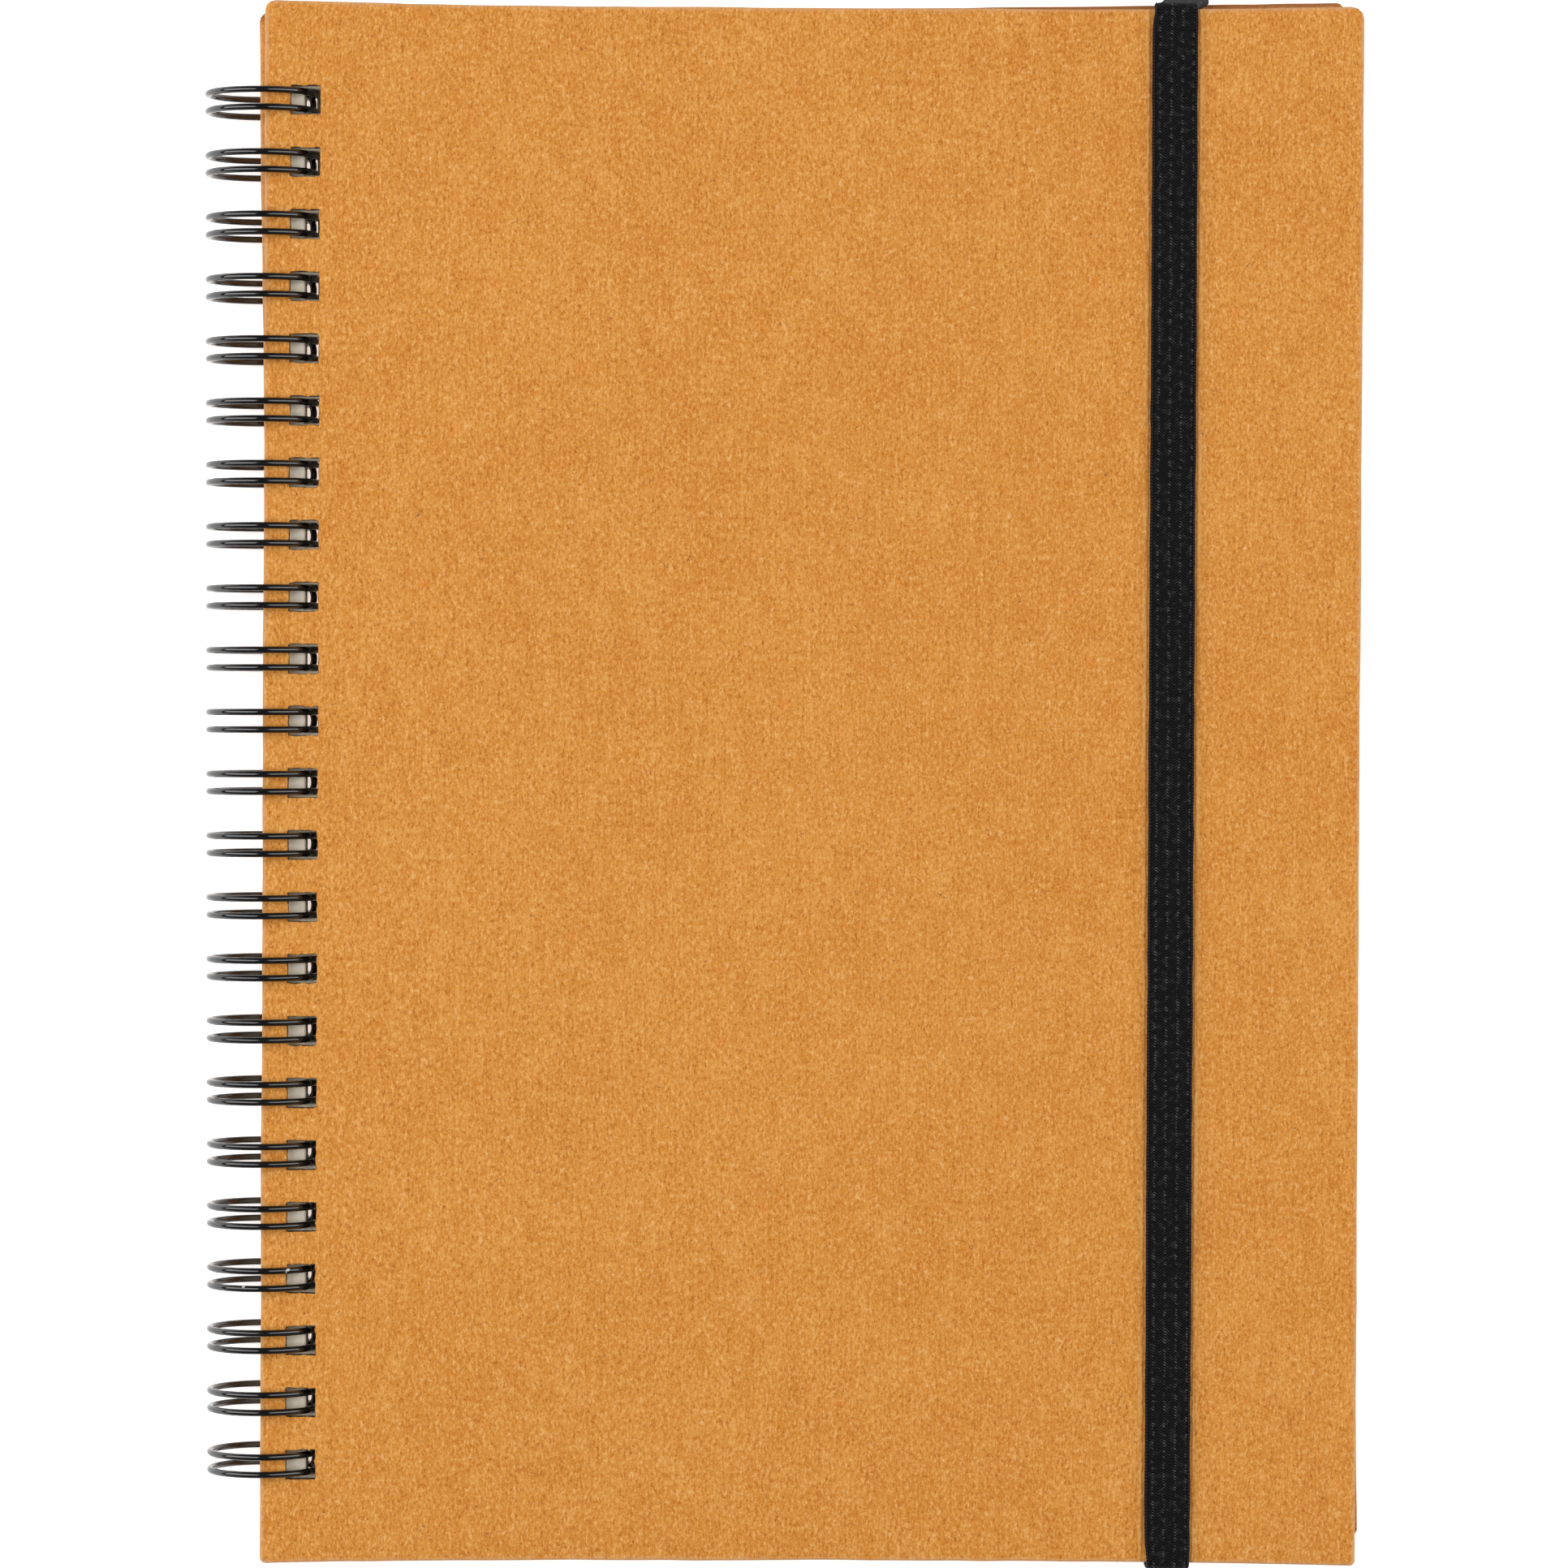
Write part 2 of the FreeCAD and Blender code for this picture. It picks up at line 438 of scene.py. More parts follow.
def felt_ground(s, tint, patch, grain, fine, streak):
    """A cloudy ground with soft patches, and the grain with its upright lay over it."""
    cloud = s.noise(s.place(), 0.045, 3)
    base = s.blend(cloud.ramp(0.3, 0.7), tint["ground"], tint["ground light"])
    base = s.blend(patch.ramp(0.45, 0.72) * 0.45, base, tint["patch light"])
    base = s.blend(patch.ramp(0.5, 0.25) * 0.35, base, tint["patch deep"])
    felt = grain * 0.5 + fine * 0.38 + streak * 0.12
    base = s.blend(felt.ramp(0.49, 0.67), base, tint["grain light"])
    return s.blend(felt.ramp(0.51, 0.33), base, tint["grain deep"])


def fibres(s, scale, seed, width, low, high):
    """Short curly lines: where a noise crosses its middle, kept only inside scattered spots."""
    lines = (s.noise(s.place((1, 0.75, 1), (seed, seed * 0.6, 0)), scale, 1) - 0.5).math("ABSOLUTE")
    spots = s.noise(s.place((1, 1, 1), (seed * 0.3, seed, 0)), scale * 1.7, 2)
    return lines.ramp(width, width * 0.3) * spots.ramp(low, high)


def flecked(s, tint, base):
    """Pale and dark fibres, flecks and a few dots strewn over the ground."""
    base = s.blend(fibres(s, 1.1, 11, 0.035, 0.5, 0.64) * 0.25, base, tint["fibre light"])
    base = s.blend(fibres(s, 1.7, 47, 0.04, 0.5, 0.64) * 0.2, base, tint["fibre fine"])
    fleck = s.noise(s.place((1.1, 0.7, 1), (61, 4, 0)), 0.95, 2, 0.7)
    base = s.blend(fleck.ramp(0.63, 0.72) * 0.5, base, tint["fleck"])
    base = s.blend(fibres(s, 1.2, 83, 0.025, 0.62, 0.7) * 0.5, base, tint["fibre brown"])
    base = s.blend(fibres(s, 0.5, 29, 0.008, 0.66, 0.7) * 0.7, base, tint["fibre grey"])
    dots = s.cells(s.place((1, 1, 1), (5, 9, 0)), 0.22)
    base = s.blend(dots.ramp(0.04, 0.02) * 0.5, base, tint["dot"])
    flush = s.cells(s.place((1, 0.8, 1), (71, 9, 0)), 0.12)
    return s.blend(flush.ramp(0.12, 0.02) * 0.25, base, tint["flush"])


def worn_edges(s, tint, base, trim, z, fine):
    """A paler rim that is partly rubbed wear and partly a painted highlight, turned-over sides darkened with
    painted shade and some wear, and on the inner face a border darkened as painted shade and a seam at 45
    degrees in each corner.
    Gives the colour and where the seams run."""
    along, up, _ = s.place(offset=(-trim["shift"], 0, 0), turn=-trim["skew"]).xyz()
    from_middle = (along - COVER_X - COVER_W / 2).math("ABSOLUTE")
    from_side = from_middle - COVER_W / 2
    hollow = (from_middle / (COVER_W / 2)).math("POWER", 3) * trim["hollow"]
    from_end = up.math("ABSOLUTE") - hollow - (COVER_H / 2 + trim["longer"])
    # Paler within a millimetre of the outer edge: rubbed wear together with a painted highlight on the
    # rounded edge.
    rim = from_end.math("MAXIMUM", from_side) + s.noise(s.place(), 0.9, 3) * 0.9 - 0.45
    base = s.blend(rim.ramp(-0.7, -0.1) * 0.55, base, tint["rubbed and lit rim"])
    # The turned-over side walls are darkened: painted shade where the edge turns away from the light, with
    # some wear.
    away = z.math("ABSOLUTE")
    loose_edge = from_end.math("MAXIMUM", along - (COVER_X + COVER_W))
    wall = away.ramp(COVER_TOP - 0.1, COVER_TOP - 0.45) * loose_edge.ramp(-0.5, -0.3)
    base = s.blend(wall * 0.55, base, tint["worn and shaded side"])
    # Painted shade: the inner face is darkened within about two millimetres of the loose edges, as if
    # shadowed by the other cover.
    inner = away.ramp(COVER_TOP - COVER_T + 0.3, COVER_TOP - COVER_T + 0.1)
    painted_shade_border = loose_edge.ramp(-1.9, -0.7) * inner
    base = s.blend(painted_shade_border * 0.55, base, tint["painted_shade_border"])
    seam = (from_end - from_side + (fine - 0.5) * 0.3).math("ABSOLUTE").ramp(0.16, 0.05) * inner
    return s.blend(seam * 0.7, base, tint["seam"]), seam


def band_print(s, tint, base, x, streak):
    """The groove and the raised line that the tight band leaves beside both its edges. Gives the colour, a
    painted shade in the groove and a painted highlight on the raised line, and the height."""
    side = (x - BAND_X).math("ABSOLUTE") + s.noise(s.place((1, 0.5, 1), (2, 5, 0)), 0.8, 3) * 0.5 - 0.25
    crease_shade = side.ramp(3.1, 3.25) * side.ramp(3.5, 3.3)
    ridge_highlight = side.ramp(3.35, 3.55) * side.ramp(4.1, 3.7)
    # Painted shade in the groove and a painted highlight on the raised line next to it.
    base = s.blend(crease_shade * streak.ramp(0.3, 0.6) * 0.45, base, tint["crease_shade"])
    base = s.blend(ridge_highlight * streak.ramp(0.35, 0.65) * 0.4, base, tint["ridge_highlight"])
    return base, ridge_highlight * 0.8 - crease_shade


def kraft(name, trim, band_marks=False):
    """The wrap's paper on a board with that trim."""
    s = Shader(name)
    tint = {part: colour(*rgb) for part, rgb in KRAFT_TONES.items()}
    x, _, z = s.place().xyz()
    patch = s.noise(s.place((1, 0.7, 1), (40, 7, 0)), 0.32, 3)
    grain = s.noise(s.place((1.6, 0.8, 1)), 1.7, 3, 0.6)
    fine = s.noise(s.place((1.3, 0.75, 1), (9, 3, 0)), 4.2, 2, 0.6)
    streak = s.noise(s.place((2.4, 0.12, 1), (3, 8, 0)), 1.0, 2)
    base = flecked(s, tint, felt_ground(s, tint, patch, grain, fine, streak))
    base, seam = worn_edges(s, tint, base, trim, z, fine)
    height = grain * 0.6 + fine * 0.5 + patch * 0.4 - seam * 1.5
    if band_marks:
        base, mark = band_print(s, tint, base, x, streak)
        height = height + mark
    return s.set(Base_Color=base, Roughness=0.72, Normal=s.bump(height, 0.05, 0.6), Specular_IOR_Level=0.25)


def cut_board():
    """Layered grey board, pressed brown where the punch went in."""
    s = Shader("cut_board")
    _, _, z = s.place().xyz()
    layers = s.noise(s.place((0.6, 0.6, 7)), 1.0, 3)
    fuzz = s.noise(s.place(), 2.2, 2)
    base = s.blend(layers.ramp(0.3, 0.7), colour(*BOARD_DARK), colour(*BOARD_LIGHT))
    pressed = (z.math("ABSOLUTE") + fuzz * 0.3).ramp(COVER_TOP - 0.05, COVER_TOP + 0.1)
    base = s.blend(pressed, base, colour(*BOARD_PRESSED))
    return s.set(Base_Color=base, Roughness=0.85, Normal=s.bump(layers + fuzz, 0.06, 0.6),
                 Specular_IOR_Level=0.2)


def front_relief(x, y):
    """A slight warp of the board, and the dent under the tight band."""
    warp = WARP * math.sin((x - 30) / COVER_W * math.pi) * math.cos(y / COVER_H * math.pi)
    dent = DENT * math.exp(-((x - BAND_X + 0.3) / DENT_HALF) ** 4)
    return warp - dent - 0.02


KRAFT = kraft("kraft_wrap", BACK_TRIM)
KRAFT_FRONT = kraft("kraft_wrap_front", FRONT_TRIM, band_marks=True)
CUT_BOARD = cut_board()
front_cover = cover_mesh("front_cover_look", 1, [KRAFT_FRONT, CUT_BOARD], front_relief,
                         FRONT_CORNERS, FRONT_TRIM)
put_cover(front_cover, 1, 0)
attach(front_cover, "front_cover")
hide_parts("front_cover")


# Back cover. The same wrapped board, with two slots for the elastic near its right edge and a shallow recess
# behind each slot for the elastic's glued end.
BACK_SHIFT = 0.15
BACK_CORNERS = (0.5, 0.9, 1.3, 0.7)
BAND_W = 6.2
BAND_T = 0.8

# How far the band has leaned sideways at each slot, the slots' distance from the board's ends, and the recess
# for the band's tail, with their play.
LEAN = {1: 2.2, -1: 0.6}
SLOT_IN = 12.0
SLOT_HALF = 0.6
SLOT_PLAY = 0.2
TAIL = 13.0
TAIL_PLAY = 0.8
RECESS = 0.9


def cover_edge_y(side, end):
    """A cover's edge at the band, in the front cover's frame, which is the band's too."""
    if side > 0:
        return end * COVER_H / 2 * stretch_at(BAND_X, FRONT_TRIM)
    turn = math.radians(2 * COVER_TURN + BACK_TRIM["skew"])
    return end * COVER_H / 2 * stretch_at(BAND_X, BACK_TRIM) + turn * BAND_X + BACK_SHIFT


def slot_y(end):
    """The middle of a slot, in the band's frame."""
    return end * (COVER_H / 2 - SLOT_IN) + 2 * math.radians(COVER_TURN) * BAND_X + BACK_SHIFT


def slot_box(end, reach=0.0):
    """A slot's rectangle in the back cover's own frame; reach lengthens it away from the near edge."""
    x, y = turned(BAND_X + LEAN[end], slot_y(end), -COVER_TURN)
    x, y = turned(x, y - BACK_SHIFT, -COVER_TURN)
    low, high = sorted((y + end * SLOT_HALF, y - end * max(SLOT_HALF, reach)))
    half = BAND_W / 2 + SLOT_PLAY
    return (x - half, low, x + half, high)


def back_relief(x, y):
    """A slight warp of the board."""
    return WARP * math.sin((x - 20) / COVER_W * math.pi) * math.cos((y + 30) / COVER_H * math.pi) - 0.06


def cut_boxes(obj, boxes):
    """Cuts boxes, each its lowest and highest corner in the piece's own frame, out of a closed mesh."""
    verts, faces = [], []
    for low, high in boxes:
        n = len(verts)
        verts += [(x, y, z) for z in (low[2], high[2]) for y in (low[1], high[1]) for x in (low[0], high[0])]
        faces += [tuple(n + k for k in f) for f in ((0, 2, 3, 1), (4, 5, 7, 6), (0, 1, 5, 4), (2, 6, 7, 3),
                                                    (0, 4, 6, 2), (1, 3, 7, 5))]
    cutter = make_mesh("cutter", verts, faces, CUT_BOARD, smooth=False)
    cutter.matrix_world = obj.matrix_world
    cut = obj.modifiers.new("cut", "BOOLEAN")
    cut.object, cut.operation, cut.solver = cutter, "DIFFERENCE", "EXACT"
    bpy.context.view_layer.update()
    result = bpy.data.meshes.new_from_object(obj.evaluated_get(bpy.context.evaluated_depsgraph_get()))
    obj.modifiers.clear()
    obj.data = result
    bpy.data.objects.remove(cutter)


back_cover = cover_mesh("back_cover_look", -1, [KRAFT, CUT_BOARD], back_relief,
                        BACK_CORNERS, BACK_TRIM, [slot_box(1), slot_box(-1)])
put_cover(back_cover, -1, BACK_SHIFT)
inner_face = COVER_T - COVER_TOP
recesses = []
for end in (1, -1):
    x0, y0, x1, y1 = slot_box(end, TAIL + TAIL_PLAY)
    recesses.append(((x0, y0, inner_face - RECESS), (x1, y1, inner_face + 1)))
bpy.context.view_layer.update()
cut_boxes(back_cover, recesses)
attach(back_cover, "back_cover")
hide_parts("back_cover")


# Endpapers. A thin sheet pasted inside each cover, a little short of its edges, so that the turned-in wrap
# shows round it. It is paper like that of the pages, a little darker, punched with the cover's holes.
LINER_T = 0.15
LINER_SPINE_IN = 1.2
LINER_IN = 4.0
LINER_TINT = (232, 219, 196)
PAGE_TINT = (243, 231, 210)

# Where the sheets bend near the spine, and the lines along which a sheet can bend.
BEND_FROM = 12
BEND_TO = 30
BEND_LINES = [*range(BEND_FROM, BEND_TO + 1, 3), 60, 90, 120]


def sheet_mesh(name, outline, cuts, levels, material):
    """A thin sheet built on a grid whose lines follow the cuts and the bend near the spine. levels(x, y)
    gives its underside and its top."""
    x0, y0, x1, y1 = outline
    xs = sorted({x0, x1, *[v for c in cuts for v in (c[0], c[2])], *[x for x in BEND_LINES if x0 < x < x1]})
    ys = sorted({y0, y1, *[v for c in cuts for v in (c[1], c[3])]})
    holes = {(c[0], c[1]) for c in cuts}
    verts, faces, number = [], [], {}

    def vert(i, j, k):
        """The number of the vertex on grid lines i and j, under the sheet for k = 0 and on it for k = 1."""
        if (i, j, k) not in number:
            number[i, j, k] = len(verts)
            verts.append((xs[i], ys[j], levels(xs[i], ys[j])[k]))
        return number[i, j, k]

    def filled(i, j):
        """Whether the grid's cell is paper, and neither outside nor a hole."""
        return 0 <= i < len(xs) - 1 and 0 <= j < len(ys) - 1 and (xs[i], ys[j]) not in holes

    for i in range(len(xs) - 1):
        for j in range(len(ys) - 1):
            if not filled(i, j):
                continue
            faces.append([vert(i, j, 1), vert(i + 1, j, 1), vert(i + 1, j + 1, 1), vert(i, j + 1, 1)])
            faces.append([vert(i, j, 0), vert(i, j + 1, 0), vert(i + 1, j + 1, 0), vert(i + 1, j, 0)])
            for ni, nj, a, b in ((i, j - 1, (i, j), (i + 1, j)), (i + 1, j, (i + 1, j), (i + 1, j + 1)),
                                 (i, j + 1, (i + 1, j + 1), (i, j + 1)), (i - 1, j, (i, j + 1), (i, j))):
                if not filled(ni, nj):
                    faces.append([vert(*a, 0), vert(*b, 0), vert(*b, 1), vert(*a, 1)])
    return make_mesh(name, verts, faces, material, smooth=False)


def paper(name, tint):
    """Uncoated paper with a faint grain."""
    s = Shader(name)
    own = s.place()
    grain = s.noise(own, 0.9, 3)
    base = s.blend(grain.ramp(0.35, 0.65), colour(*tint), colour(*[min(255, t + 9) for t in tint]))
    return s.set(Base_Color=base, Roughness=0.8, Normal=s.bump(grain, 0.02, 0.3), Specular_IOR_Level=0.2)


PAPER = paper("page_paper", PAGE_TINT)
LINER = paper("liner_paper", LINER_TINT)
for side, name in ((1, "front_endpaper"), (-1, "back_endpaper")):
    low, high = sorted((side * (COVER_TOP - COVER_T), side * (COVER_TOP - COVER_T - LINER_T)))
    half_height = COVER_H / 2 - LINER_IN
    outline = (COVER_X + LINER_SPINE_IN, -half_height, COVER_X + COVER_W - LINER_IN, half_height)
    liner = sheet_mesh(name + "_look", outline,
                       [(HOLE_X, y - HOLE / 2, HOLE_X + HOLE, y + HOLE / 2) for y in hole_centres()],
                       lambda x, y: (low, high), LINER)
    put_cover(liner, side, 0 if side > 0 else BACK_SHIFT)
    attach(liner, name.replace("endpaper", "cover"))
    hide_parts(name)


# Page block. Loose sheets, each punched with the same holes and none quite in line with the next. They rest
# on the closed wire at the spine and sink towards the back cover further out.
SHEETS = 48
SHEET_T = 0.1
PAGE_X = 1.8
PAGE_END = 145.8
PAGE_HALF = 104.0
PAGE_TOP = 3.1
PAGE_LOW_SPINE = -2.0
PAGE_LOW = -3.1
PAGE_HOLE = 4.0
PAGE_HOLE_X = 5.96
PAGE_HOLE_UP = 1.8
PAGE_HOLE_DOWN = 1.82

# How far the sheets lie out of line, sideways, at most outwards, and up or down, and their slow ripples.
STRAY_X = 0.12
STRAY_OUT = 0.06
STRAY_Y = 0.16
RIPPLE_X = 40
RIPPLE_Y = 50


def page_low(x):
    """The block's underside, which sinks where the bend is."""
    t = min(1, max(0, (x - BEND_FROM) / (BEND_TO - BEND_FROM)))
    return PAGE_LOW_SPINE + (PAGE_LOW - PAGE_LOW_SPINE) * t * t * (3 - 2 * t)


def leaf_levels(n):
    """The underside and top of sheet n, which ripples in the room it has above the one below."""
    ripple = hash_noise("ripple", n) * 0.3

    def levels(x, y):
        low = page_low(x)
        step = (PAGE_TOP - low) / SHEETS
        lift = 0.5 + 0.25 * math.sin(x / RIPPLE_X + ripple * 20) * math.cos(y / RIPPLE_Y + ripple * 9)
        base = low + n * step + (step - SHEET_T) * lift
        return (base, base + SHEET_T)

    return levels


def page_mesh():
    """All sheets in one mesh."""
    verts, faces = [], []
    cuts = [(PAGE_HOLE_X, y - PAGE_HOLE_DOWN, PAGE_HOLE_X + PAGE_HOLE, y + PAGE_HOLE_UP)
            for y in hole_centres()]
    for n in range(SHEETS):
        dx = min(STRAY_OUT, STRAY_X * hash_noise("page x", n))
        stray = Vector((dx, STRAY_Y * hash_noise("page y", n), 0)) * MM
        sheet = sheet_mesh("leaf", (PAGE_X, -PAGE_HALF, PAGE_END, PAGE_HALF), cuts, leaf_levels(n), PAPER)
        first = len(verts)
        verts += [tuple(c / MM for c in v.co + stray) for v in sheet.data.vertices]
        faces += [tuple(first + i for i in p.vertices) for p in sheet.data.polygons]
        bpy.data.objects.remove(sheet)
    return make_mesh("pages_look", verts, faces, PAPER, smooth=False)


pages = page_mesh()
pages.location = RING_AXIS
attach(pages, "book")
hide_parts("page_block")


# Elastic band. A flat woven elastic: rows of chevrons that peak at four ribs, firm cords along both edges. It
# runs over the front cover, round both ends and into the back cover's slots.
RIB = 1.527
RIB_X = -0.51
ROW = 0.382
CORD_IN = 0.2
GROOVE_IN = 0.48

# How finely the band is drawn: along it, across it and round a fold.
BAND_STEP = 0.35
SECTION_STEPS = 42
FOLD_STEPS = 8

# The air between band and board and in the recess, and the radii of its folds: over the boards' ends, the
# soft ones at the book's side, and in the slots.
OFF_BOARD = 0.15
TAIL_GAP = 0.05
FOLD_R = 0.9
SIDE_Z = 2.2
SIDE_R = 3.0
SLOT_FOLD_R = 0.6

# The height at which the band starts to lean sideways and over which it does, and how far its left edge is
# tucked in near the fold on top.
LEAN_FROM = 5.5
LEAN_OVER = 8.7
TUCK = 0.35
TUCK_REACH = 1.9

# The band's two end pieces start just inside the back cover's edge and lie lower than this height; the
# same margin just beyond the slots gives a span that nothing uses.
FREE_END = 1.5
BELOW_BACK = -5.6

BLACK_GROUND = (0.0015, 0.0012, 0.0014, 1)
YARN = (0.0115, 0.011, 0.0112, 1)
YARN_LIT = (0.038, 0.038, 0.039, 1)
KNOT_HIGHLIGHT = (0.105, 0.105, 0.108, 1)
CORD = (0.032, 0.029, 0.036, 1)


def band_line(end):
    """The middle line of one half as (y, z) points with bend radii."""
    half = BAND_T / 2
    high = COVER_TOP + OFF_BOARD + half
    tail = COVER_T - COVER_TOP - TAIL_GAP - half
    front = cover_edge_y(1, end) + end * (OFF_BOARD + half)
    back = cover_edge_y(-1, end) + end * (OFF_BOARD + half)
    slot = slot_y(end)
    return [((0, high), 0), ((front, high), FOLD_R), ((front, SIDE_Z), SIDE_R), ((back, -SIDE_Z), SIDE_R),
            ((back, -high), FOLD_R), ((slot, -high), SLOT_FOLD_R), ((slot, tail), SLOT_FOLD_R),
            ((slot - end * TAIL, tail), 0)]


def rounded(points, step):
    """Evenly spaced (y, z, ty, tz) along a line of points with rounded corners."""
    path = [Vector(points[0][0])]
    for (before, _), (corner, radius), (after, _) in zip(points, points[1:], points[2:]):
        c = Vector(corner)
        u, v = (Vector(before) - c).normalized(), (Vector(after) - c).normalized()
        half_angle = u.angle(v) / 2
        reach = radius / math.tan(half_angle)
        centre = c + (u + v).normalized() * (radius / math.sin(half_angle))
        a, b = c + u * reach - centre, c + v * reach - centre
        turn = a.angle(b)
        for k in range(FOLD_STEPS + 1):
            f = k / FOLD_STEPS
            path.append(centre + (a * math.sin(turn * (1 - f)) + b * math.sin(turn * f)) / math.sin(turn))
    path.append(Vector(points[-1][0]))
    out, want, gone = [], 0.0, 0.0
    for a, b in zip(path, path[1:]):
        length = (b - a).length
        while want <= gone + length and length > 1e-6:
            at = a + (b - a) * ((want - gone) / length)
            t = (b - a) / length
            out.append((at.x, at.y, t.x, t.y))
            want += step
        gone += length
    return out


def band_offset(end, z):
    """The band leans sideways as it runs down the book's side, from just under its fold to its last one."""
    t = min(1, max(0, (LEAN_FROM - z) / LEAN_OVER))
    return BAND_X + LEAN[end] * t * t * (3 - 2 * t)


def across():
    """Points round the band's section, from its left edge: (u, height). The outer side has shallow ribs, a
    round cord along each edge and a groove beside it."""
    half = BAND_W / 2
    out = []
    for k in range(SECTION_STEPS + 1):
        u = BAND_W * k / SECTION_STEPS - half
        rib = 0.025 * math.cos(2 * math.pi * (u - RIB_X) / RIB)
        cord = 0.04 * math.exp(-((abs(u) - half + CORD_IN) / 0.14) ** 2)
        groove = -0.06 * math.exp(-((abs(u) - half + GROOVE_IN) / 0.2) ** 2)
        round_off = -0.3 * max(0, (abs(u) - half + 0.25) / 0.25) ** 2
        out.append((u, BAND_T / 2 - 0.08 + rib + cord + groove + round_off))
    return out + [(u, -BAND_T / 2 + (0.12 if abs(u) == half else 0.03)) for u in (half, 1.5, 0, -1.5, -half)]


def woven():
    """Floats that rise to a peak at each rib and fall to the valley between two, over a black ground, with a
    painted highlight where they cross the rib and painted highlights on the yarn in lit patches."""
    s = Shader("woven_elastic")
    u, t, _ = s.node("ShaderNodeUVMap", {"uv_map": "weave"}).xyz()
    uneven = s.noise(s.place(), 1.1, 2) - 0.5
    u = u + uneven * 0.12
    t = t + (s.noise(s.place((1, 1, 1), (7, 3, 0)), 0.5, 2) - 0.5) * 0.25
    rib = ((u - RIB_X) / RIB + 10.5).math("FRACT")
    fall = (rib - 0.5).math("ABSOLUTE") * 2
    chevron = ((t + fall * 0.62) / ROW).math("FRACT")
    yarn = (chevron - 0.5).math("ABSOLUTE").ramp(0.4, 0.12)
    crossing = ((t + (rib - 0.5) * 0.9) / ROW + 0.1).math("FRACT")
    knot = (crossing - 0.5).math("ABSOLUTE").ramp(0.34, 0.12) * fall.ramp(0.3, 0.12)
    body = 1 - u.math("ABSOLUTE").ramp(2.55, 2.72)
    twist = ((t / 0.45).math("FRACT") - 0.5).math("ABSOLUTE")
    cord = u.math("ABSOLUTE").ramp(2.72, 2.86) * twist.ramp(0.55, 0.1)
    lit = s.noise(s.place(), 1.3, 3)
    base = s.blend(yarn * body, BLACK_GROUND, YARN)
    # Painted highlights: lighter yarn in lit patches, and bright crossings where the floats peak at a rib.
    base = s.blend(yarn * body * lit.ramp(0.5, 0.66) * 0.8, base, YARN_LIT)
    base = s.blend(knot * body * lit.ramp(0.42, 0.64), base, KNOT_HIGHLIGHT)
    base = s.blend(cord * 0.8, base, CORD)
    height = yarn * body * 0.6 + knot * body * 0.5 + cord * 0.6 + lit * 0.2
    return s.set(Base_Color=base, Roughness=0.7, Normal=s.bump(height, 0.12, 0.9), Specular_IOR_Level=0.08,
                 Sheen_Weight=0.02, Sheen_Roughness=0.4, Sheen_Tint=(0.8, 0.8, 1, 1))


def strip(name, rows, material):
    """A closed length of the band through rows of (y, z, direction, end, distance along it). Its left edge is
    tucked in at the fold over the front cover's end."""
    verts, faces, weave = [], [], []
    section = across()
    m = len(section)
    for n, (y, z, ty, tz, end, gone) in enumerate(rows):
        x = band_offset(end, z)
        fold = math.hypot(abs(y - cover_edge_y(1, end)), z - COVER_TOP - BAND_T / 2)
        left = TUCK * math.exp(-(fold / TUCK_REACH) ** 2) + 0.05 * wobble(gone, 3.1, "bl")
        right = 0.05 * wobble(gone, 2.7, "br")
        for u, h in section:
            px = x + u + (left if u < 0 else right) * abs(u) / (BAND_W / 2)
            verts.append((px, y - tz * h, z + ty * h))
            weave.append((u, gone))
        if n:
            a, b = (n - 1) * m, n * m
            faces += [(a + i, a + (i + 1) % m, b + (i + 1) % m, b + i) for i in range(m)]
    faces.append(tuple(range(m - 1, -1, -1)))
    faces.append(tuple(range(len(verts) - m, len(verts))))
    made = make_mesh(name, verts, faces, material)
    uv = made.data.uv_layers.new(name="weave")
    for loop in made.data.loops:
        uv.data[loop.index].uv = weave[loop.vertex_index]
    put_cover(made, 1, 0)
    return made


def band_rows():
    """The whole band from its lower to its upper end, as rows for strip()."""
    lines = {end: rounded(band_line(end), BAND_STEP) for end in (1, -1)}
    line = [(y, z, -ty, -tz, -1) for y, z, ty, tz in reversed(lines[-1])][:-1]
    line += [(y, z, ty, tz, 1) for y, z, ty, tz in lines[1]]
    gone, rows = 0.0, []
    for n, row in enumerate(line):
        if n:
            gone += math.hypot(row[0] - line[n - 1][0], row[1] - line[n - 1][1])
        rows.append((*row, gone))
    return rows


def seam_row(rows, end):
    """The row under the back cover, just inside its edge, where the end piece starts."""
    seam = cover_edge_y(-1, end) - end * FREE_END
    below = [(abs(row[0] - seam), i) for i, row in enumerate(rows) if row[1] < BELOW_BACK and row[4] == end]
    return min(below)[1]


rows = band_rows()
top_seam, bottom_seam = seam_row(rows, 1), seam_row(rows, -1)
WOVEN = woven()
band = strip("elastic_loop", rows[bottom_seam:top_seam + 1], WOVEN)
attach(band, "elastic")
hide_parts("elastic_band")
parts = {1: ("elastic_top_end", rows[top_seam:]), -1: ("elastic_bottom_end", rows[:bottom_seam + 1])}
for end, (name, part) in parts.items():
    run = strip(name, part, WOVEN)
    span = (slot_y(end) + end * FREE_END, cover_edge_y(-1, end) - end * FREE_END)
    ends = [turned(BAND_X, y, -COVER_TURN) for y in span]
    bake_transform(run)


# Wire. One steel wire with a black gloss coating, bent into a row of double loops and closed towards the back
# cover. Its solid is shown as it is, with a few chips in the coating.
COATING = (0.0022, 0.0018, 0.0019, 1)
BARE_STEEL = (0.62, 0.6, 0.55, 1)


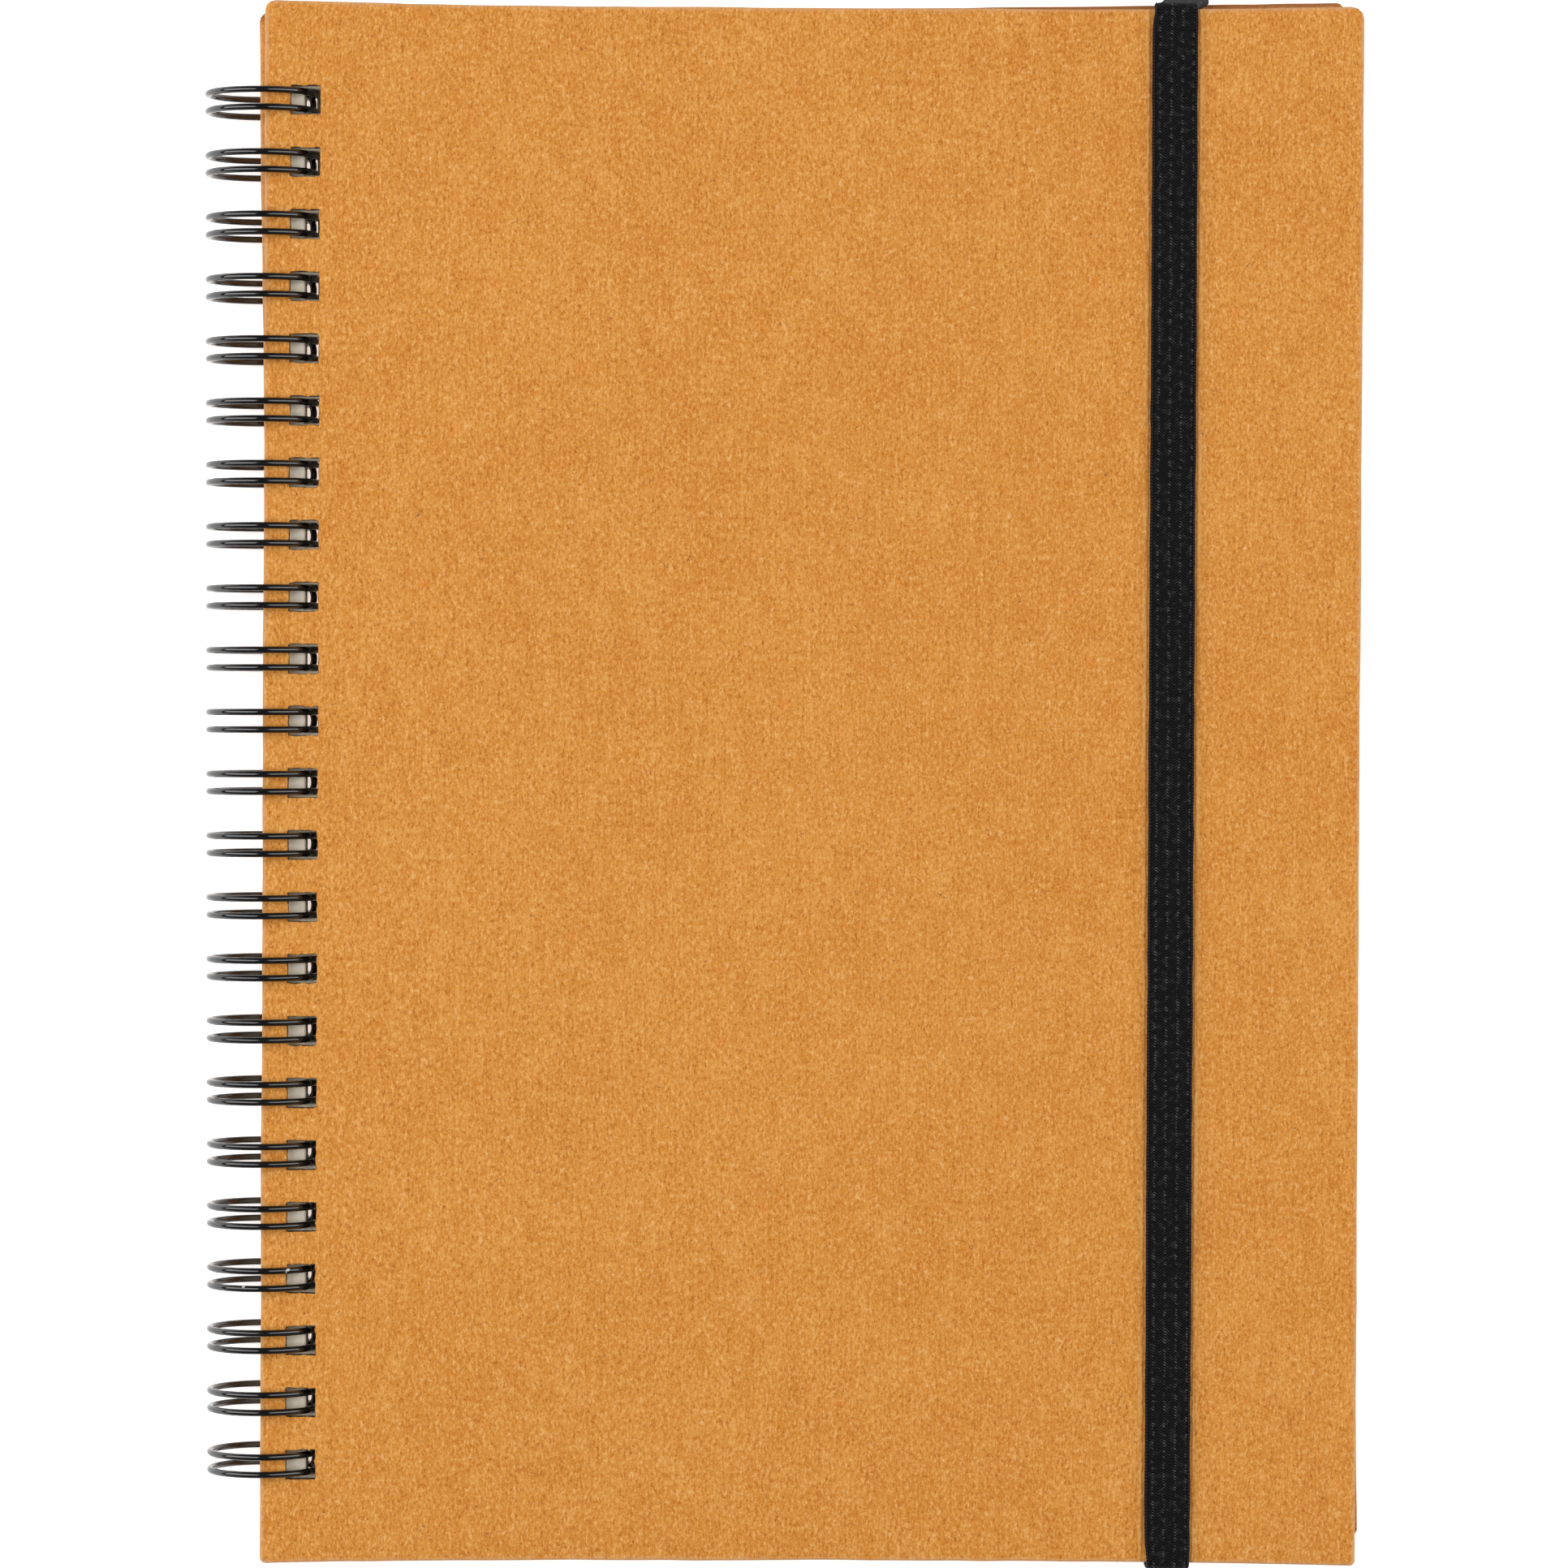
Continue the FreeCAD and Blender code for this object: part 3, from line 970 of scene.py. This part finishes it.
def wire_black():
    """Gloss black, dull in patches, with small chips."""
    s = Shader("wire_black")
    own = s.place()
    dull = s.noise(own, 0.35, 2).ramp(0.4, 0.65)
    dots = s.cells(s.place((1, 1, 1), (3, 1, 6)), 0.17).ramp(0.075, 0.06)
    chip = dots * s.noise(own, 1.1, 2).ramp(0.52, 0.56)
    base = s.blend(chip, COATING, BARE_STEEL)
    return s.set(Base_Color=base, Roughness=dull * 0.07 + 0.1, IOR=1.7,
                 Normal=s.bump(s.noise(own, 0.8, 2), 0.02, 0.25))


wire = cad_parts["wire_binding"]
wire.data.materials.clear()
wire.data.materials.append(wire_black())


# Stage. A plain pale floor under the soft light of a studio, one large lamp on each side, and the camera of
# the photo, almost straight above and a little to the left of the book's middle.
LAMP_SIZE = (0.7, 1.3)
LEFT_LAMP = (-0.68, 0.1, 0.68)
RIGHT_LAMP = (0.7, 0.1, 0.66)
LEFT_POWER = 9.4
RIGHT_POWER = 7.6
ROOM_LIGHT = 0.11
FLOOR_SIZE = 6
FLOOR_GAP = 0.0002
CAMERA_AT = Vector((60.0, 10.1, 808.4)) * MM
CAMERA_TURN = (-0.0128, -0.0143, -0.0001)
LENS = 135
SENSOR = 36


def lamp(name, at, power):
    """A large soft lamp that faces the middle of the floor."""
    data = bpy.data.lights.new(name, "AREA")
    data.shape = "RECTANGLE"
    data.size, data.size_y = LAMP_SIZE
    data.energy = power
    light = bpy.data.objects.new(name, data)
    light.location = at
    light.rotation_euler = (-Vector(at)).to_track_quat("-Z", "Y").to_euler()
    bpy.context.scene.collection.objects.link(light)


bpy.ops.mesh.primitive_plane_add(size=FLOOR_SIZE, location=(0, 0, -FLOOR_GAP))
floor = bpy.context.object
floor.name = "floor"
floor.data.materials.append(Shader("floor_white").set(
    Base_Color=(0.9, 0.9, 0.9, 1), Roughness=0.6, Emission_Color=(1, 1, 1, 1), Emission_Strength=0.55))
lamp("left", LEFT_LAMP, LEFT_POWER)
lamp("right", RIGHT_LAMP, RIGHT_POWER)
world = bpy.data.worlds.new("studio")
world.use_nodes = True
background = world.node_tree.nodes["Background"]
background.inputs["Color"].default_value = (1, 1, 1, 1)
background.inputs["Strength"].default_value = ROOM_LIGHT
bpy.context.scene.world = world

camera = bpy.data.objects.new("camera", bpy.data.cameras.new("camera"))
camera.data.lens = LENS
camera.data.sensor_width = SENSOR
camera.location = RING_AXIS + CAMERA_AT
camera.rotation_euler = CAMERA_TURN
bpy.context.scene.collection.objects.link(camera)
bpy.context.scene.camera = camera
bpy.context.scene.view_settings.view_transform = "Standard"
